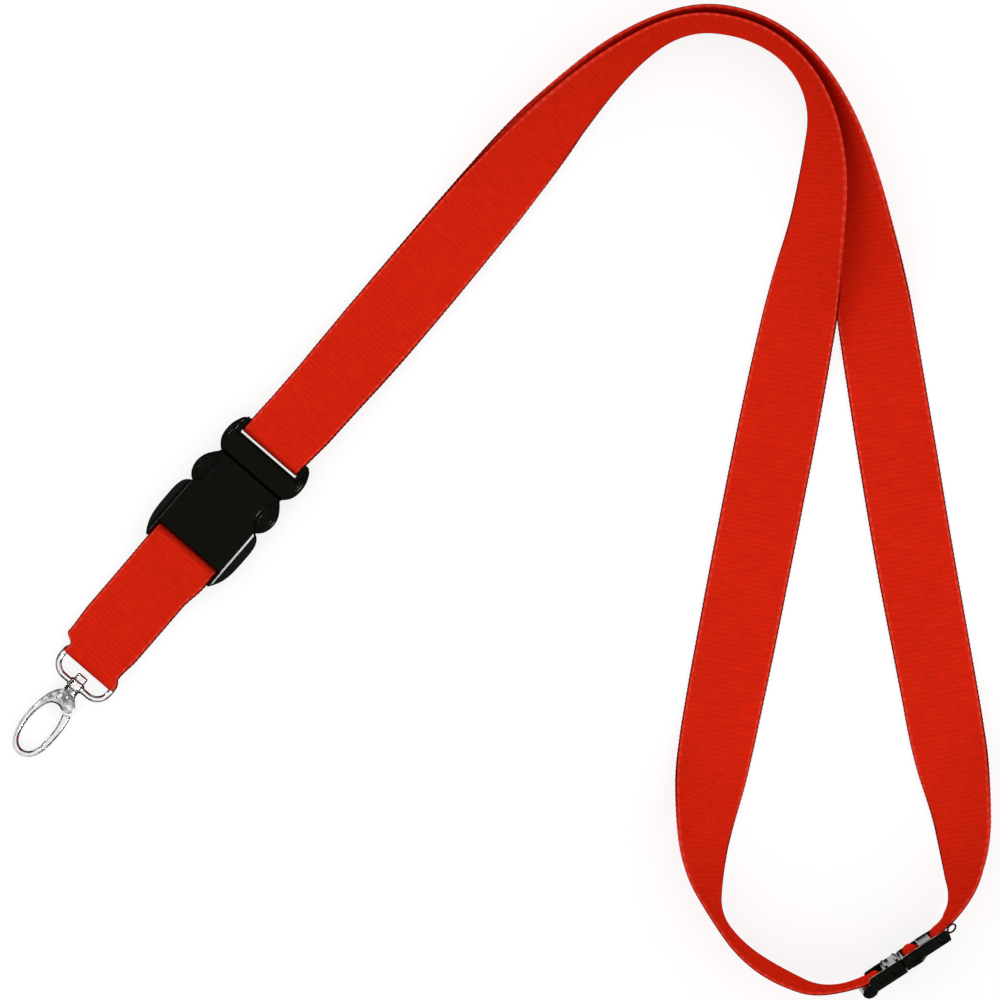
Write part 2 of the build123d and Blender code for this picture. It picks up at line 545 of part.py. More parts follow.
# webbing ends inside the clasp
WEB_Z0 = (CLASP_H - WEB_W) / 2
end_up = [(-10.13, 1.001), (-10.1, 0.995), (-9.4, 0.88), (-8.6, 0.84)] + arc_points(-7.6, -0.35, 0.6 + WRAP_GAP + 0.5, 90, -90, 10) + [(-8.6, -1.50), (-9.7, -1.35)]
with BuildPart() as upper_end:
    with BuildSketch(lifted(CLASP, WEB_Z0)):
        with BuildLine():
            Polyline(*band(end_up, WEB_T - 0.04), close=True)
        make_face()
    extrude(amount=WEB_W)
upper_end.part.label = "strap_end_upper"
export_step(upper_end.part, "parts/strap_end_upper.step")

end_low = [(15.87, 2.766), (15.3, 2.58), (14.3, 2.24), (13.2, 1.98), (12.1, 1.86), (11.35, 1.66), (10.8, 1.25), (10.38, 0.75), (9.85, 0.32), (9.0, 0.12), (7.8, 0.08), (6.5, 0.1), (5.6, 0.36), (5.0, 0.95), (4.5, 1.5), (3.75, 1.82), (2.95, 1.75), (2.3, 1.35), (1.9, 0.75), (1.75, 0.15)]
with BuildPart() as low_end:
    with BuildSketch(lifted(CLASP, WEB_Z0)):
        with BuildLine():
            Polyline(*band(end_low, WEB_T - 0.04), close=True)
        make_face()
    extrude(amount=WEB_W)
low_end.part.label = "strap_end_lower"
export_step(low_end.part, "parts/strap_end_lower.step")
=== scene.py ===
"""Looks of the neck lanyard: woven strap, moulded buckle, cast hook and breakaway clasp, in the row frame, in metres."""
import math

import bmesh
import bpy
import numpy as np
from mathutils import Matrix, Vector


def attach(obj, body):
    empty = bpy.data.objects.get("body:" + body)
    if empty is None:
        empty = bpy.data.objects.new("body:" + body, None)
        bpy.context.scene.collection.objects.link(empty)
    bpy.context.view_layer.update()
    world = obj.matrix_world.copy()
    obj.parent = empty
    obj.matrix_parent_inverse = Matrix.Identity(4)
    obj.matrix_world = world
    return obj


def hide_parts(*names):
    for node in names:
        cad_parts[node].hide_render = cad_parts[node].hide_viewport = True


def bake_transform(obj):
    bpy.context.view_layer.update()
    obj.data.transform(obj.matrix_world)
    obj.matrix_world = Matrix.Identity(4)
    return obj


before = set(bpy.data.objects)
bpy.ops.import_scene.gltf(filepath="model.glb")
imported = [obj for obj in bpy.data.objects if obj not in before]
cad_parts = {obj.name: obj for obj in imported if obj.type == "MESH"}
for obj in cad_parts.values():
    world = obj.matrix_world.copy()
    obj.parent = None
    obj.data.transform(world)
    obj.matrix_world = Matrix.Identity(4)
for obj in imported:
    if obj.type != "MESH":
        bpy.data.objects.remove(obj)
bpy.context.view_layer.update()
MM = 0.001

# ------------------------------------------------------------------ frames of the parts, as in the CAD source (mm)
WEB_W, WEB_T = 20.0, 1.0
BAR_R, WRAP_GAP, BAR_Z = 1.15, 0.07, 4.0
MALE_BAR_S, FEMALE_BAR_S, RING_BAR_S = 2.5, -33.6, -71.5
RING_Z, RING_Y, WIRE_R = 2.3, -1.2, 0.8
CLASP_H = 24.0
EDGE_S = -31.2


def local(at, deg, y=0.0, z=0.0):
    return (
        Matrix.Translation((at[0] * MM, at[1] * MM, z * MM))
        @ Matrix.Rotation(math.radians(deg), 4, "Z")
        @ Matrix.Translation((0, y * MM, 0))
    )


BUCKLE = local((-59.89, 12.20), 49.2)
RING = local((-59.89, 12.20), 49.2, RING_Y, RING_Z)
CLASP = local((103.75, -118.8), 33.0)

UP_C = [(-58.25, 14.10, 5.72), (-49.11, 24.69, 5.72), (-27.76, 48.30, 2.20), (-7.45, 72.75, 2.80), (11.46, 94.65, 9.44), (29.92, 113.59, 11.24), (47.20, 124.31, 11.62), (64.10, 122.68, 11.51), (76.74, 114.67, 11.58), (83.69, 101.65, 11.65), (84.14, 85.86, 9.71), (81.46, 66.48, 9.37), (77.29, 44.34, 3.11), (72.32, 19.19, 0.62), (66.94, -8.19, 0.95), (61.82, -34.85, 0.62), (56.49, -61.65, 0.81), (52.83, -81.99, 7.57), (52.82, -96.20, 9.32), (55.86, -107.31, 10.67), (62.35, -116.02, 10.48), (71.41, -122.36, 10.32), (84.52, -127.64, 11.22), (93.98, -123.77, 12.00)]
UP_E = [(-65.83, 20.62, 5.72), (-56.68, 31.22, 5.72), (-35.40, 54.71, 2.20), (-15.11, 79.15, 2.71), (4.69, 99.28, 16.79), (26.91, 116.32, 20.55), (46.93, 126.22, 21.61), (64.58, 124.11, 21.39), (77.58, 115.76, 21.45), (86.34, 101.80, 21.50), (89.73, 84.76, 17.84), (89.03, 64.45, 16.96), (86.89, 41.75, 4.49), (82.56, 17.32, 0.62), (77.26, -10.26, 0.95), (71.95, -36.71, 0.62), (66.40, -63.67, 0.58), (60.93, -84.39, 0.78), (58.07, -96.61, 0.60), (56.95, -106.96, 0.59), (63.17, -114.95, 0.61), (72.07, -120.89, 0.35), (85.92, -127.63, 1.30), (94.11, -123.65, 2.00)]
LOW_C = [(-58.25, 14.10, 2.28), (-49.11, 24.69, 2.28), (-30.15, 45.48, 0.62), (-12.45, 67.23, 0.69), (4.02, 86.54, 4.00), (19.90, 105.29, 8.77), (34.92, 119.69, 9.95), (51.09, 126.44, 10.48), (66.68, 123.99, 10.38), (78.76, 115.20, 10.21), (86.20, 101.58, 9.80), (90.80, 85.82, 8.32), (94.61, 65.30, 6.66), (98.43, 43.80, 0.55), (102.70, 16.75, 0.80), (107.02, -9.93, 0.80), (112.11, -37.77, 0.62), (116.30, -60.97, 2.79), (119.20, -77.07, 7.54), (120.45, -90.25, 8.68), (119.75, -102.69, 11.80), (115.84, -107.49, 12.02)]
LOW_E = [(-65.83, 20.62, 2.28), (-56.68, 31.22, 2.28), (-37.86, 51.82, 0.62), (-20.02, 73.87, 0.40), (-3.52, 92.08, 7.27), (14.04, 109.33, 17.09), (32.78, 122.16, 19.41), (50.91, 128.56, 20.44), (67.33, 125.58, 20.25), (80.52, 116.56, 20.01), (90.31, 102.83, 19.11), (97.24, 86.47, 16.17), (103.19, 66.11, 12.50), (108.48, 45.38, 0.40), (112.80, 18.37, 0.80), (117.25, -8.30, 0.80), (122.18, -35.92, 0.50), (125.84, -58.89, 4.94), (127.00, -74.66, 14.39), (126.38, -89.06, 16.91), (121.96, -101.36, 21.80), (116.25, -107.62, 22.01)]


# ------------------------------------------------------------------ materials
class Nodes:
    """A short way to write node trees."""

    def __init__(self, tree):
        self.tree = tree

    def new(self, kind, **values):
        n = self.tree.nodes.new(kind)
        for k, v in values.items():
            setattr(n, k, v)
        return n

    def put(self, socket, value):
        if isinstance(value, bpy.types.NodeSocket):
            self.tree.links.new(value, socket)
        elif isinstance(value, (int, float)) and hasattr(socket.default_value, "__len__"):
            socket.default_value = [value] * len(socket.default_value)
        else:
            socket.default_value = value

    def math(self, op, a, b=0.0, c=0.0, clamp=False):
        n = self.new("ShaderNodeMath", operation=op, use_clamp=clamp)
        for s, v in zip(n.inputs, (a, b, c)):
            self.put(s, v)
        return n.outputs[0]

    def span(self, x, a, b, lo=0.0, hi=1.0):
        n = self.new("ShaderNodeMapRange", interpolation_type="SMOOTHSTEP")
        for s, v in zip(n.inputs[:5], (x, a, b, lo, hi)):
            self.put(s, v)
        return n.outputs[0]

    def noise(self, vector, scale, detail=2.0, rough=0.5):
        n = self.new("ShaderNodeTexNoise")
        self.put(n.inputs["Vector"], vector)
        n.inputs["Scale"].default_value = scale
        n.inputs["Detail"].default_value = detail
        n.inputs["Roughness"].default_value = rough
        return n.outputs["Fac"]

    def vector(self, x, y, z=0.0):
        n = self.new("ShaderNodeCombineXYZ")
        for s, v in zip(n.inputs, (x, y, z)):
            self.put(s, v)
        return n.outputs[0]

    def mix(self, f, a, b):
        n = self.new("ShaderNodeMix", data_type="RGBA")
        self.put(n.inputs["Factor"], f)
        self.put(n.inputs["A"], a)
        self.put(n.inputs["B"], b)
        return n.outputs["Result"]

    def scaled(self, colour, f):
        n = self.new("ShaderNodeVectorMath", operation="SCALE")
        self.put(n.inputs[0], colour if isinstance(colour, bpy.types.NodeSocket) else tuple(colour[:3]))
        self.put(n.inputs["Scale"], f)
        return n.outputs[0]

    def bump(self, height, distance, strength=1.0, normal=None):
        n = self.new("ShaderNodeBump")
        n.inputs["Strength"].default_value = strength
        n.inputs["Distance"].default_value = distance
        self.put(n.inputs["Height"], height)
        if normal is not None:
            self.put(n.inputs["Normal"], normal)
        return n.outputs[0]


def material(name):
    m = bpy.data.materials.new(name)
    m.use_nodes = True
    m.node_tree.nodes.clear()
    n = Nodes(m.node_tree)
    out = n.new("ShaderNodeOutputMaterial")
    shader = n.new("ShaderNodeBsdfPrincipled")
    m.node_tree.links.new(shader.outputs[0], out.inputs[0])
    return m, n, shader


def webbing_material(name, colour, edge, pitch):
    """Ribbed polyester webbing, with a painted highlight and painted shade along its edges; edge is the colour of the
    painted shade. The UV map gives millimetres/100 along it and across it.
    """
    m, n, b = material(name)
    uv = n.new("ShaderNodeUVMap", uv_map="weave")
    parts = n.new("ShaderNodeSeparateXYZ")
    n.put(parts.inputs[0], uv.outputs[0])
    s = n.math("MULTIPLY", parts.outputs[0], 100.0)
    w = n.math("MULTIPLY", parts.outputs[1], 100.0)
    aw = n.math("ABSOLUTE", w)
    lies = n.new("ShaderNodeUVMap", uv_map="lies")
    lay = n.new("ShaderNodeSeparateXYZ")
    n.put(lay.inputs[0], lies.outputs[0])
    flat = lay.outputs[0]
    stands = n.math("SUBTRACT", 1.0, flat)
    # rib valleys, a little uneven across
    drift = n.noise(n.vector(n.math("MULTIPLY", s, 0.05), n.math("MULTIPLY", w, 0.16)), 1.0, 2.0)
    turn = n.math("ADD", n.math("MULTIPLY", s, 2 * math.pi / pitch), n.math("MULTIPLY", drift, 1.6))
    rib = n.math("MULTIPLY_ADD", n.math("COSINE", turn), 0.5, 0.5)
    # streaks that run across, a few ribs long, and slow cloudy change along the strap
    streak = n.noise(n.vector(n.math("MULTIPLY", s, 0.62), n.math("MULTIPLY", w, 0.22)), 1.0, 3.0, 0.62)
    cloud = n.noise(n.vector(n.math("MULTIPLY", s, 0.035), n.math("MULTIPLY", w, 0.06), 7.0), 1.0, 2.0)
    yarn = n.noise(n.vector(n.math("MULTIPLY", s, 1.1), n.math("MULTIPLY", w, 1.6), 3.0), 1.0, 2.0)
    tone = n.math("MULTIPLY_ADD", n.math("SUBTRACT", streak, 0.5), 0.40, 1.0)
    tone = n.math("MULTIPLY", tone, n.math("MULTIPLY_ADD", n.math("SUBTRACT", cloud, 0.5), 0.12, 1.0))
    tone = n.math("MULTIPLY", tone, n.math("MULTIPLY_ADD", rib, 0.10, 0.93))
    tone = n.math("MULTIPLY", tone, n.math("MULTIPLY_ADD", n.math("SUBTRACT", yarn, 0.5), 0.28, 1.0))
    # selvedge: a painted highlight along the turned edge, broken up by the weft's loops, and a painted highlight on an
    # edge that stands up; then painted shade on the strap's side faces where it lies flat, on the lower or far edge of
    # a standing strap and along a fold
    loops = n.math("MULTIPLY_ADD", n.math("COSINE", n.math("MULTIPLY", turn, 0.5)), 0.5, 0.5)
    painted_highlight = n.math("MULTIPLY", n.span(aw, 8.95, 9.2), n.span(aw, 9.72, 9.5))
    painted_highlight = n.math("MULTIPLY", painted_highlight, n.math("MULTIPLY_ADD", loops, 0.55, 0.15))
    standing_edge_highlight = n.math("MULTIPLY", n.math("MULTIPLY", n.span(aw, 9.5, 9.7), stands), n.math("MULTIPLY_ADD", loops, 0.85, 0.15))
    painted_highlight = n.math("MAXIMUM", painted_highlight, n.math("MULTIPLY", standing_edge_highlight, 0.5))
    # painted shade: the dark side faces where the strap lies flat, the lower or far edge where it stands, and the fold
    painted_shade = n.math("MAXIMUM", n.math("MULTIPLY", n.span(aw, 9.60, 9.80), flat), n.math("MULTIPLY", n.span(aw, 9.0, 9.35), n.math("MULTIPLY", lay.outputs[1], stands)))
    painted_shade = n.math("MAXIMUM", painted_shade, n.span(lay.outputs[1], 1.3, 1.9))
    # painted light: where the strap stands on its edge its colour is painted 6 % lighter
    tone = n.math("MULTIPLY", tone, n.math("MULTIPLY_ADD", stands, 0.06, 1.0))
    # the pale colour mixed in here is the painted highlight on the selvedge
    base = n.scaled(n.mix(painted_highlight, colour, (0.72, 0.06, 0.035, 1)), tone)
    n.put(b.inputs["Base Color"], n.mix(painted_shade, base, edge))
    n.put(b.inputs["Roughness"], n.math("MULTIPLY_ADD", rib, -0.06, 0.85))
    b.inputs["Specular IOR Level"].default_value = 0.0
    weave = n.math("ADD", n.math("MULTIPLY", yarn, 0.5), n.math("MULTIPLY", streak, 0.4))
    n.put(b.inputs["Normal"], n.bump(weave, 0.0001, 0.5))
    return m


def plastic_material(name, colour, rough, specular, grain=1.0):
    """Moulded black plastic: faint mould texture, slightly uneven gloss."""
    m, n, b = material(name)
    at = n.new("ShaderNodeTexCoord").outputs["Object"]
    fine = n.noise(at, 2600.0, 3.0, 0.6)
    broad = n.noise(at, 160.0, 2.0)
    n.put(b.inputs["Base Color"], n.scaled(colour, n.math("MULTIPLY_ADD", broad, 0.8, 0.6)))
    n.put(b.inputs["Roughness"], n.math("ADD", rough, n.math("MULTIPLY", n.math("SUBTRACT", broad, 0.5), 0.12)))
    b.inputs["Specular IOR Level"].default_value = specular
    n.put(b.inputs["Normal"], n.bump(fine, 0.00002 * grain, 0.18))
    return m


def metal_material(name, colour, rough, streak=1.0, crown=None):
    """Plated die-cast metal: slight unevenness of the casting and polishing marks. crown = (point, direction, from, to) in metres: a duller, rougher cast stretch."""
    m, n, b = material(name)
    at = n.new("ShaderNodeTexCoord").outputs["Object"]
    cast = n.noise(at, 520.0, 3.0, 0.55)
    fine = n.noise(at, 3000.0, 2.0)
    b.inputs["Metallic"].default_value = 1.0
    tone = n.math("MULTIPLY_ADD", cast, 0.22, 0.87)
    gloss = n.math("MULTIPLY_ADD", fine, 0.10, rough - 0.05)
    if crown is not None:
        away = n.new("ShaderNodeVectorMath", operation="DOT_PRODUCT")
        n.put(away.inputs[0], at)
        away.inputs[1].default_value = crown[1]
        along = n.math("SUBTRACT", away.outputs["Value"], crown[0] @ crown[1])
        dull = n.span(along, crown[2], crown[3])
        patch = n.span(n.noise(at, 620.0, 2.0, 0.6), 0.40, 0.62)
        tone = n.math("MULTIPLY", tone, n.math("SUBTRACT", 1.0, n.math("MULTIPLY", dull, n.math("MULTIPLY_ADD", patch, 0.55, 0.22))))
        gloss = n.math("ADD", gloss, n.math("MULTIPLY", dull, 0.10))
    n.put(b.inputs["Base Color"], n.scaled(colour, tone))
    n.put(b.inputs["Roughness"], gloss)
    n.put(b.inputs["Normal"], n.bump(cast, 0.00012 * streak, 0.5))
    return m


RIB = 1.25  # rib pitch, mm
# the third colour is the dark red of the painted shade along the strap's edges
RED = webbing_material("woven_red_polyester", (0.585, 0.0155, 0.0044, 1), (0.10, 0.0012, 0.001, 1), RIB)
BLACK = plastic_material("moulded_black", (0.0020, 0.0023, 0.0009, 1), 0.14, 0.05)
BLACK_INNER = plastic_material("moulded_black_inner", (0.0030, 0.0032, 0.0020, 1), 0.34, 0.05, 2.0)
NICKEL = metal_material("polished_nickel", (0.82, 0.81, 0.79, 1), 0.09)
NICKEL_CAST = metal_material("cast_nickel", (0.80, 0.79, 0.77, 1), 0.10, crown=(BUCKLE.to_translation(), BUCKLE.to_3x3() @ Vector((1, 0, 0)), -0.0885, -0.0855))
STEEL = metal_material("spring_steel", (0.62, 0.62, 0.63, 1), 0.24)


def thread_material():
    m, n, b = material("red_thread")
    at = n.new("ShaderNodeTexCoord").outputs["Object"]
    twist = n.noise(at, 4000.0, 2.0)
    n.put(b.inputs["Base Color"], n.scaled((0.45, 0.010, 0.006, 1), n.math("MULTIPLY_ADD", twist, 0.8, 0.6)))
    b.inputs["Roughness"].default_value = 0.7
    n.put(b.inputs["Normal"], n.bump(twist, 0.00005, 0.8))
    return m


THREAD = thread_material()


# ------------------------------------------------------------------ meshes
def piece(name, verts, faces, mat, uv=None, more=None):
    me = bpy.data.meshes.new(name)
    me.from_pydata([tuple(v) for v in verts], [], [tuple(f) for f in faces])
    me.materials.append(mat)
    me.polygons.foreach_set("use_smooth", np.ones(len(me.polygons), bool))
    for title, values in (("weave", uv), ("lies", more)):
        if values is not None:
            layer = me.uv_layers.new(name=title)
            loops = np.zeros(len(me.loops), np.int32)
            me.loops.foreach_get("vertex_index", loops)
            layer.data.foreach_set("uv", np.asarray(values, np.float32)[loops].ravel())
    me.update()
    ob = bpy.data.objects.new(name, me)
    bpy.context.scene.collection.objects.link(ob)
    return ob


def route(points):
    """The line of the NURBS spline that has these points, in mm, as its control points."""
    cu = bpy.data.curves.new("route", "CURVE")
    cu.dimensions = "3D"
    cu.resolution_u = 60
    sp = cu.splines.new("NURBS")
    sp.points.add(len(points) - 1)
    for p, q in zip(sp.points, points):
        p.co = (q[0] * MM, q[1] * MM, q[2] * MM, 1)
    sp.order_u = 3
    sp.use_endpoint_u = True
    ob = bpy.data.objects.new("route", cu)
    me = bpy.data.meshes.new_from_object(ob)
    line = np.array([v.co for v in me.vertices], float)
    bpy.data.meshes.remove(me)
    bpy.data.curves.remove(cu)
    return line


def unit(v):
    return v / np.linalg.norm(v, axis=-1, keepdims=True)


def lengths(p):
    return np.concatenate([[0], np.cumsum(np.linalg.norm(np.diff(p, axis=0), axis=1))])


def even(p, a, step):
    """Points step apart along p, with the matching values of a."""
    at = lengths(p)
    want = np.linspace(0, at[-1], max(2, int(round(at[-1] / step)) + 1))
    return (
        np.stack([np.interp(want, at, p[:, k]) for k in range(3)], 1),
        np.stack([np.interp(want, at, a[:, k]) for k in range(3)], 1),
    )


def through(points, per=10, closed=False):
    """A smooth line through points (Catmull-Rom)."""
    p = np.asarray(points, float)
    n = len(p)
    out = []
    spans = n if closed else n - 1
    for i in range(spans):
        if closed:
            a, b, c, d = p[(i - 1) % n], p[i], p[(i + 1) % n], p[(i + 2) % n]
        else:
            a, b, c, d = p[max(i - 1, 0)], p[i], p[i + 1], p[min(i + 2, n - 1)]
        for k in range(per):
            t = k / per
            out.append(0.5 * (2 * b + (c - a) * t + (2 * a - 5 * b + 4 * c - d) * t * t + (3 * b - a - 3 * c + d) * t**3))
    if not closed:
        out.append(p[-1])
    return np.array(out)


def to_world(base, p):
    m = np.array(base, float)
    return (np.asarray(p, float) * MM) @ m[:3, :3].T + m[:3, 3]


def turned(base, v):
    m = np.array(base, float)
    return np.asarray(v, float) @ m[:3, :3].T


def soft_noise(x, seed):
    """Smooth, repeatable one-dimensional noise of about unit wavelength, between -1 and 1."""
    rng = np.random.default_rng(seed)
    table = rng.uniform(-1, 1, 4096)
    i = np.floor(x).astype(int)
    f = x - i
    f = f * f * (3 - 2 * f)
    return table[i % 4096] * (1 - f) + table[(i + 1) % 4096] * f


def rib_height(s, w):
    """How far the webbing's surface stands above its mean face, in mm, at s along it and w across it."""
    phase = 2 * math.pi * s / RIB + 0.35 * np.sin(w * 0.37 + s * 0.021) + 0.5 * soft_noise(s * 0.05 + w * 0.02 + 50, 3)
    wave = 0.5 + 0.5 * np.cos(phase)
    strength = 0.75 + 0.35 * soft_noise(s * 0.8 + 20 * np.floor(s / RIB), 11) + 0.25 * soft_noise(w * 0.35 + np.floor(s / RIB) * 7.3, 5)
    return 0.075 * (wave**0.8 - 0.5) * strength


WIDE = np.array([0.0, 2.0, 4.0, 6.0, 7.5, 8.6, 9.0, 9.3, 9.6, 9.82, 9.95])
THICK = np.array([0.43, 0.43, 0.43, 0.43, 0.425, 0.41, 0.41, 0.42, 0.40, 0.31, 0.16])


def strap(name, p, a, mat, closed=False, half=None, shift=None, start=0.0, thin=1.0, rows=None, fold_shade=None, shade_all_sides=False):
    """A strip of webbing along p (m). a points across it to the left. half (mm) and shift (mm) vary along it. rows = (first, last) keeps that part of the run."""
    n = len(p)
    along = unit(np.gradient(p, axis=0)) if not closed else unit(np.roll(p, -1, 0) - np.roll(p, 1, 0))
    a = unit(a - (a * along).sum(1)[:, None] * along)
    up = np.cross(along, a)
    s = start + lengths(p) / MM
    half = np.full(n, WEB_W / 2) if half is None else half
    shift = np.zeros(n) if shift is None else shift
    top_w = np.concatenate([-WIDE[::-1], WIDE[1:]])
    top_h = np.concatenate([THICK[::-1], THICK[1:]])
    section_w = np.concatenate([top_w, [10.0], top_w[::-1], [-10.0]])
    section_h = np.concatenate([top_h, [0.0], -top_h[::-1], [0.0]])
    k = len(section_w)
    S, W = np.meshgrid(s, section_w, indexing="ij")
    side = np.sign(section_h)[None, :]
    inner = np.clip((9.2 - np.abs(W)) / 0.5, 0, 1)
    lift = rib_height(S + np.where(side < 0, RIB / 2, 0), W) * inner * np.abs(side)
    loop = 0.05 * np.cos(2 * math.pi * S / RIB) * np.clip((np.abs(W) - 8.8) / 1.0, 0, 1)
    wide = (W / 10.0) * (half[:, None] - 0.03 + loop) + shift[:, None]
    high = (section_h[None, :] + lift * side) * thin
    v = p[:, None, :] + a[:, None, :] * (wide * MM)[..., None] + up[:, None, :] * (high * MM)[..., None]
    # 1 where the strap lies flat and 0 where it stands on its edge; and where to paint shade: 1 on the lower edge of a
    # standing strap and on the edge of the face turned away, 2 along a fold
    level = np.clip(((a[:, 0] ** 2 + a[:, 1] ** 2) - 0.45) / 0.4, 0, 1)[:, None]
    lies = level + np.zeros_like(S)
    painted_shade_mask = (W * a[:, 2:3] < 0).astype(float)
    # painted shade on the edge of the face turned away; with shade_all_sides, on the edges of both faces
    outward = up[:, 2] - 0.15 * (up * unit(p * [1, 1, 0])).sum(1)
    away = (section_h[None, :] * np.sign(outward)[:, None] < -0.05) & (np.abs(W) > 9.7)
    if shade_all_sides:
        away |= (np.abs(section_h)[None, :] > 0.2) & (np.abs(W) > 9.7)
    painted_shade_mask = np.maximum(painted_shade_mask, away)
    if fold_shade is not None:
        painted_shade_mask = np.maximum(painted_shade_mask, 2 * fold_shade[:, None])
    if rows is not None:
        v, S, W, lies, painted_shade_mask = (q[rows[0] : rows[1]] for q in (v, S, W, lies, painted_shade_mask))
        n = len(v)
    verts = v.reshape(-1, 3)
    uv = np.stack([S.ravel() / 100.0, W.ravel() / 100.0], 1)
    faces = []
    for i in range(n if closed else n - 1):
        i2 = (i + 1) % n
        base, nxt = i * k, i2 * k
        for j in range(k):
            j2 = (j + 1) % k
            faces.append((base + j, nxt + j, nxt + j2, base + j2))
    if not closed:
        faces.append(tuple(range(k)))
        faces.append(tuple(range((n - 1) * k + k - 1, (n - 1) * k - 1, -1)))
    ob = piece(name, verts, faces, mat, uv, np.stack([lies.ravel(), painted_shade_mask.ravel()], 1))
    fix = bmesh.new()
    fix.from_mesh(ob.data)
    bmesh.ops.recalc_face_normals(fix, faces=fix.faces)
    fix.to_mesh(ob.data)
    fix.free()
    return ob


def joined(parts, step):
    """One run of even steps from several (points, across) runs, end to end."""
    p = np.concatenate([q[0] if i == 0 else q[0][1:] for i, q in enumerate(parts)])
    a = np.concatenate([q[1] if i == 0 else q[1][1:] for i, q in enumerate(parts)])
    return even(p, a, step)


def routed(mid, edge):
    c, e = route(mid), route(edge)
    along = unit(np.gradient(c, axis=0))
    w = e - c
    return c, unit(w - (w * along).sum(1)[:, None] * along)


STEP = 0.25 * MM * RIB

up_line, up_across = routed(UP_C, UP_E)
low_line, low_across = routed(LOW_C, LOW_E)

# the turn round the male half's bar
wrap = BAR_R + WRAP_GAP + WEB_T / 2
turn = np.array([(MALE_BAR_S + wrap * math.cos(t), 0.0, BAR_Z + wrap * math.sin(t)) for t in np.radians(np.linspace(270, 90, 40))])
turn = (to_world(BUCKLE, turn), np.repeat(turned(BUCKLE, [[0, 1, 0]]), 40, 0))


def arc(cx, cy, r, a0, a1, n):
    return [(cx + r * math.cos(math.radians(a0 + (a1 - a0) * i / n)), cy + r * math.sin(math.radians(a0 + (a1 - a0) * i / n))) for i in range(n + 1)]


end_up = [(-10.1, 0.995), (-9.4, 0.88), (-8.6, 0.84)] + arc(-7.6, -0.35, 0.6 + WRAP_GAP + 0.5, 90, -90, 10) + [(-8.6, -1.50), (-9.7, -1.35)]
end_low = [(15.3, 2.58), (14.3, 2.24), (13.2, 1.98), (12.1, 1.86), (11.35, 1.66), (10.8, 1.25), (10.38, 0.75), (9.85, 0.32), (9.0, 0.12), (7.8, 0.08), (6.5, 0.1), (5.6, 0.36), (5.0, 0.95), (4.5, 1.5), (3.75, 1.82), (2.95, 1.75), (2.3, 1.35), (1.9, 0.75), (1.75, 0.15)]
up_tail = through([(x, y, CLASP_H / 2) for x, y in end_up], 6)
low_tail = through([(x, y, CLASP_H / 2) for x, y in end_low], 6)
up_tail = (to_world(CLASP, up_tail), np.tile([0.0, 0.0, -1.0], (len(up_tail), 1)))
low_tail = (to_world(CLASP, low_tail), np.tile([0.0, 0.0, 1.0], (len(low_tail), 1)))

# how far each edge stands from the 10 mm of an even strip, every 10 mm along the route: left, right
UP_EDGES = (
    [-0.65, -0.85, -0.73, -0.26, 0.13, 0.24, 0.12, -0.07, -0.26, -0.31, -0.05, 0.07] + [0.0] * 11 + [0.06, 0.19, 0.0, -0.06, 0.16, 0.36, 0.46, 0.45, 0.47, 0.42, 0.37, 0.33, 0.22, 0.07, -0.04, 0.06, 0.09] + [0.0] * 7,
    [-0.84, -0.12, -0.01, 0.10, 0.08, 0.01, -0.01, -0.09, -0.21, -0.19, -0.02, 0.04] + [0.0] * 11 + [0.06, 0.20, -0.03, 0.0, 0.18, 0.33, 0.41, 0.44, 0.44, 0.46, 0.42, 0.33, 0.22, 0.01, -0.09, 0.13, 0.15, 0.01] + [0.0] * 6,
)
LOW_EDGES = (
    [-0.85, -0.89, -0.72, -0.23, 0.16, 0.24, 0.09, -0.11, -0.27, -0.26, -0.02, 0.19, 0.04] + [0.0] * 10 + [0.05, 0.07, -0.08, -0.11, 0.04, 0.16, 0.26, 0.34, 0.34, 0.30, 0.28, 0.23, 0.14, 0.04, -0.05, 0.09, 0.11] + [0.0] * 3,
    [-0.80, -0.10, -0.02, 0.07, 0.05, 0.02, 0.02, -0.07, -0.21, -0.22, -0.04, 0.18, 0.04] + [0.0] * 11 + [-0.02, -0.10, 0.05, 0.21, 0.28, 0.31, 0.30, 0.29, 0.29, 0.26, 0.15, 0.01, -0.05, 0.12, 0.12] + [0.0] * 3,
)


def widths(line, before, edges):
    """Half width and sideways shift in mm along line, whose route begins before mm along it."""
    at = lengths(line) / MM - before
    wide = [10 + np.interp(at, np.arange(len(e)) * 10.0, e) for e in edges]
    return (wide[0] + wide[1]) / 2, (wide[0] - wide[1]) / 2


p, a = joined([turn, (up_line, up_across), up_tail], STEP)
half, shift = widths(p, lengths(turn[0])[-1] / MM, UP_EDGES)
strap_upper = strap("neck_strap_upper_woven", p, a, RED, half=half, shift=shift)
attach(strap_upper, "neck")
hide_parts("neck_strap_upper", "neck_strap_fold", "strap_end_upper")

p, a = joined([(low_line, low_across), low_tail], STEP)
half, shift = widths(p, 0.0, LOW_EDGES)
cut = int(lengths(low_line)[-1] / STEP)
# the strap's end in the plug gets painted shade on the edges of both faces
low_end = strap("strap_end_in_plug_woven", p, a, RED, half=half, shift=shift, start=11.0, rows=(cut, len(p)), shade_all_sides=True)
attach(low_end, "clasp_end")
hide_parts("strap_end_lower")
strap_lower = strap("neck_strap_lower_woven", p, a, RED, half=half, shift=shift, start=11.0, rows=(0, cut + 1))
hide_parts("neck_strap_lower", "neck_strap_lower_end")
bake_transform(strap_lower)

